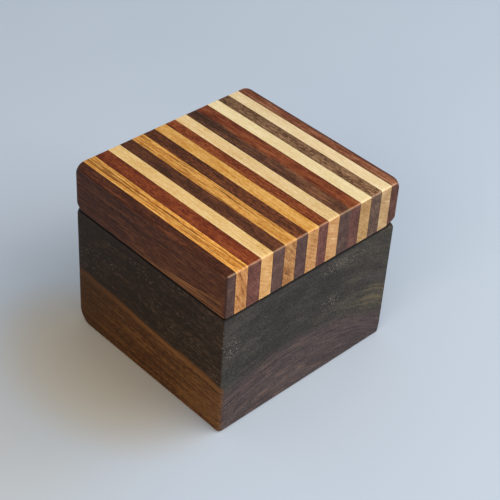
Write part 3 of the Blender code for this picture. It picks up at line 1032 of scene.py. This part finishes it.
def strip_stations(low, high):
    """Where a strip's outlines stand: evenly between its sides, and closer at the lid's own sides."""
    turns = np.linspace(0, math.pi / 2, ARC_STEPS * 2 + 1)
    near_side = HALF_WIDTH - SIDE_ZONE * (1 - np.sin(turns))
    if low < SIDE_ZONE - HALF_WIDTH:
        flat = np.linspace(-near_side[0], high, LEFT_STRIP_OUTLINES)
        return np.concatenate([-near_side[::-1], flat[1:]])
    if high > HALF_WIDTH - SIDE_ZONE:
        flat = np.linspace(low, near_side[0], RIGHT_STRIP_OUTLINES)
        return np.concatenate([flat[:-1], near_side])
    return np.linspace(low, high, STRIP_OUTLINES)


def make_strip(name):
    """One strip of the lid: its outlines joined from side to side, and closed at both."""
    low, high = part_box(name)
    stations = strip_stations(low.x, high.x)
    y, z = lid_sections(stations)
    x = np.repeat(stations[:, None], y.shape[1], 1)
    points = np.stack([x, y, z], -1)
    middle = (points.min((0, 1)) + points.max((0, 1))) / 2
    draw_in = [0, CAP_INSET_SHARE, CAP_INSET_SHARE]
    first = points[:1] + (middle - points[:1]) * draw_in
    last = points[-1:] + (middle - points[-1:]) * draw_in
    points = np.concatenate([first, points, last])
    return put(name + "_wood", points.reshape(-1, 3), ring_faces(*points.shape[:2]))


def block_ring(corners, inset, height):
    """Points round the block at one height: a rectangle with round corners, drawn in by the inset."""
    arcs = []
    for number, (side_x, side_y) in enumerate(CORNER_SIDES):
        corner = corners[number]
        angle = (number + np.linspace(0, 1, ARC_STEPS + 1)) * math.pi / 2
        x = side_x * (HALF_WIDTH - corner) + (corner - inset) * np.cos(angle)
        y = side_y * (HALF_DEPTH - corner) + (corner - inset) * np.sin(angle)
        arcs.append(np.stack([x, y], -1))
    joined = []
    for arc, following in zip(arcs, arcs[1:] + arcs[:1]):
        straight = arc[-1] + (following[0] - arc[-1]) * inner_shares(FLAT_STEPS)[:, None]
        joined.extend([arc, straight])
    ring = np.concatenate(joined)
    return np.concatenate([ring, np.full((len(ring), 1), height)], 1)


def eased_end(end, inward, rounding, corners, reach):
    """Outlines over one end of the block, from the end face inwards.

    The inset is a quarter circle of the edge's rounding, and each corner grows rounder over its reach.
    """
    angle = np.linspace(0, math.pi / 2, ARC_STEPS + 1)
    beyond = np.linspace(rounding, reach, REACH_STEPS + 1)[1:]
    depths = np.concatenate([rounding * (1 - np.cos(angle)), beyond])
    insets = np.concatenate([rounding * (1 - np.sin(angle)), 0 * beyond])
    return [
        block_ring(UPRIGHT_CORNERS + (corners - UPRIGHT_CORNERS) * share, inset, end + inward * depth)
        for share, inset, depth in zip(swell(depths, reach), insets, depths)
    ]


def make_base():
    """The base block: outlines from the foot to the top edge, joined and closed."""
    foot = eased_end(BASE_LOW.z, 1, FOOT_ROUND, FOOT_CORNERS, FOOT_REACH)
    seam = eased_end(BASE_HIGH.z, -1, BASE_SEAM_ROUND, BASE_SEAM_CORNERS, BASE_SEAM_REACH)
    heights = np.linspace(FOOT_REACH, BASE_HIGH.z - BASE_SEAM_REACH, SIDE_STEPS + 2)[1:-1]
    levels = foot + [block_ring(UPRIGHT_CORNERS, 0, height) for height in heights] + seam[::-1]
    points = np.concatenate(levels)
    return put("base_block_wood", points, ring_faces(len(levels), len(levels[0])))


def turned(profile, centre, steps):
    """A round solid about an upright axis, from radius and height at each level, lowest first."""
    angle = np.arange(steps) * 2 * math.pi / steps
    profile = np.asarray(profile)
    x = centre[0] + profile[:, :1] * np.cos(angle)
    y = centre[1] + profile[:, :1] * np.sin(angle)
    z = np.repeat(profile[:, 1:], steps, 1)
    return np.stack([x, y, z], -1).reshape(-1, 3), ring_faces(len(profile), steps)


def cavity_profile():
    """The cavity's straight wall, and a mouth that widens through a quarter round."""
    profile = [(CAVITY_RADIUS, CAVITY_FLOOR)]
    for angle in np.linspace(0, math.pi / 2, ARC_STEPS + 1):
        profile.append((
            CAVITY_RADIUS + CAVITY_RIM_ROUND * (1 - math.cos(angle)),
            BASE_HIGH.z - CAVITY_RIM_ROUND * (1 - math.sin(angle)),
        ))
    profile.append((CAVITY_RADIUS + CAVITY_RIM_ROUND, BASE_HIGH.z + CUT_OVERRUN))
    return profile


def straight_profile(radius, low, high):
    """A straight bore between two heights."""
    return [(radius, low), (radius, high)]


def make_hollows():
    """The solids that are cut away: the cavity, the pin's bore and hole, and the magnets' recesses."""
    pin = (PIN_LOW + PIN_HIGH) / 2
    magnet = (MAGNET_LOW + MAGNET_HIGH) / 2
    bore = (PIN_HIGH.x - PIN_LOW.x) / 2 + PIN_CLEARANCE
    recess = (MAGNET_HIGH.x - MAGNET_LOW.x) / 2 + MAGNET_GAP
    over_base = BASE_HIGH.z + CUT_OVERRUN
    under_lid = LID_LOW.z - CUT_OVERRUN
    base_bore = straight_profile(bore, PIN_LOW.z - PIN_END_GAP, over_base)
    base_recess = straight_profile(recess, BASE_MAGNET_LOW.z - MAGNET_GAP, over_base)
    lid_hole = straight_profile(bore, under_lid, PIN_HIGH.z + PIN_END_GAP)
    lid_recess = straight_profile(recess, under_lid, MAGNET_HIGH.z + MAGNET_GAP)
    shapes = {
        "cavity": (cavity_profile(), CAVITY_CENTRE, TURN_STEPS),
        "base_bore": (base_bore, pin, BORE_STEPS),
        "base_recess": (base_recess, magnet, BORE_STEPS),
        "lid_hole": (lid_hole, pin, BORE_STEPS),
        "lid_recess": (lid_recess, magnet, BORE_STEPS),
    }
    made = {}
    for name, shape in shapes.items():
        made[name] = put(name, *turned(*shape))
        made[name].hide_render = True
    return made


def hollows_met(name, hollows):
    """The hollows that one strip of the lid shares: the pin's hole, the magnet's recess or neither."""
    low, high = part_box(name)
    return [
        hollows[key] for key, start, end in (
            ("lid_hole", PIN_LOW, PIN_HIGH), ("lid_recess", MAGNET_LOW, MAGNET_HIGH))
        if low.x < end.x + MAGNET_GAP and high.x > start.x - MAGNET_GAP
    ]


def carve(piece, cutters):
    """Cut the hollows out of a piece for good."""
    for cutter in cutters:
        modifier = piece.modifiers.new("hollow", "BOOLEAN")
        modifier.operation = "DIFFERENCE"
        modifier.solver = "EXACT"
        modifier.object = cutter
    graph = bpy.context.evaluated_depsgraph_get()
    mesh = bpy.data.meshes.new_from_object(piece.evaluated_get(graph))
    piece.modifiers.clear()
    piece.data = mesh
    mesh.set_sharp_from_angle(angle=SMOOTH_ANGLE)


def give_finish(piece, finish):
    """Let a piece have one finish and no other."""
    piece.data.materials.clear()
    piece.data.materials.append(finish)


def dress(piece, body, node, finish):
    """Give a piece its finish and put it in its node's place."""
    give_finish(piece, finish)
    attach(piece, body)
    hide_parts(node)


def strip_finish(name):
    """The finish of one strip, from the number in its name."""
    return strip_wood(name + "_finish", int(name.split("_")[2]), *in_mm(*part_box(name)))


# The floor: half its size in metres, its two close tones and the reach of their clouds. On the box's
# left it has a wide grey painted shade, and a warm painted shadow close to the box. Their places and
# reaches are in millimetres, and the warm one fades by the square of the share of its reach
FLOOR_HALF = 3.0
FLOOR_TONES = ((0.56, 0.645, 0.76), (0.60, 0.685, 0.80))
FLOOR_CLOUD = (100, 100, 100)
FLOOR_ROUGHNESS = 0.7
PAINTED_SHADE_GREY = (0.54, 0.56, 0.57)
PAINTED_SHADE_PLACE = (-95, 15)
PAINTED_SHADE_FADE = (10, 80)
PAINTED_WARM_SHADOW = (0.55, 0.49, 0.39)
WARM_SHADOW_PLACE = (-46, 12)
WARM_SHADOW_REACH = (34, 50)
WARM_SHADOW_FADE = (0.0, 1.2)


def floor_paper():
    """The floor's finish: pale cool paper, with a grey painted shade and a warm painted shadow on the
    box's left.
    """
    sheet = Sheet("floor_paper")
    colour = sheet.mix(sheet.bumps(FLOOR_CLOUD), *FLOOR_TONES)
    # A wide grey painted shade on the box's left
    wide_x = sheet.x - PAINTED_SHADE_PLACE[0]
    wide_y = sheet.y - PAINTED_SHADE_PLACE[1]
    wide = sheet.math("SQRT", wide_x * wide_x + wide_y * wide_y)
    colour = sheet.mix(sheet.fade(wide, *PAINTED_SHADE_FADE) * 0.8, colour, PAINTED_SHADE_GREY)
    # A warm painted shadow close to the box's left side
    near_x = (sheet.x - WARM_SHADOW_PLACE[0]) / WARM_SHADOW_REACH[0]
    near_y = (sheet.y - WARM_SHADOW_PLACE[1]) / WARM_SHADOW_REACH[1]
    near = sheet.oval(near_x, near_y, *WARM_SHADOW_FADE)
    colour = sheet.mix(near * 0.9, colour, PAINTED_WARM_SHADOW)
    return sheet.wire(colour, FLOOR_ROUGHNESS)


def make_floor():
    """The plain pale floor."""
    points = np.array([(x * FLOOR_HALF, y * FLOOR_HALF, 0) for x, y in CORNER_SIDES])
    floor = put("floor", points, [[0, 1, 2, 3]])
    give_finish(floor, floor_paper())


def make_light(name, place, size, power, colour):
    """One soft square lamp that looks at the box."""
    data = bpy.data.lights.new(name, "AREA")
    data.shape = "SQUARE"
    data.size = size
    data.energy = power
    data.color = colour
    lamp = add_object(name, data)
    lamp.location = place
    lamp.rotation_mode = "QUATERNION"
    lamp.rotation_quaternion = (Vector(LAMP_AIM) - Vector(place)).to_track_quat("-Z", "Y")


def make_world(colour, strength):
    """Even light from all round."""
    world = bpy.data.worlds.new("studio")
    bpy.context.scene.world = world
    world.use_nodes = True
    sky = world.node_tree.nodes["Background"]
    sky.inputs["Color"].default_value = (*colour, 1)
    sky.inputs["Strength"].default_value = strength


def make_camera():
    """The camera where the photograph was taken from."""
    back = Vector((
        math.sin(CAMERA_AZIMUTH) * math.cos(CAMERA_ELEVATION),
        -math.cos(CAMERA_AZIMUTH) * math.cos(CAMERA_ELEVATION),
        math.sin(CAMERA_ELEVATION),
    ))
    level = Vector((0, 0, 1)).cross(back).normalized()
    upward = back.cross(level)
    right = level * math.cos(CAMERA_ROLL) + upward * math.sin(CAMERA_ROLL)
    up = upward * math.cos(CAMERA_ROLL) - level * math.sin(CAMERA_ROLL)
    data = bpy.data.cameras.new("camera")
    data.lens = CAMERA_LENS
    data.sensor_width = CAMERA_SENSOR
    data.clip_start = CAMERA_NEAREST
    camera = add_object("camera", data)
    turn = Matrix((right, up, back)).transposed()
    camera.matrix_world = Matrix.Translation(CAMERA_PLACE) @ turn.to_4x4()
    bpy.context.scene.camera = camera


hollows = make_hollows()
base = make_base()
carve(base, [hollows["cavity"], hollows["base_bore"], hollows["base_recess"]])
dress(base, "base", "base_block", base_wood())
for strip_name in STRIPS:
    strip = make_strip(strip_name)
    cutters = hollows_met(strip_name, hollows)
    if cutters:
        carve(strip, cutters)
    dress(strip, "lid", strip_name, strip_finish(strip_name))
for hollow in hollows.values():
    bpy.data.objects.remove(hollow)
for node, (tint, rough) in METALS.items():
    give_finish(NODES[node], bright_metal(node + "_metal", tint, rough))
make_floor()
for lamp_name, lamp in LAMPS.items():
    make_light(lamp_name, **lamp)
make_world(SKY_COLOUR, SKY_STRENGTH)
make_camera()
bpy.context.scene.view_settings.view_transform = "Standard"
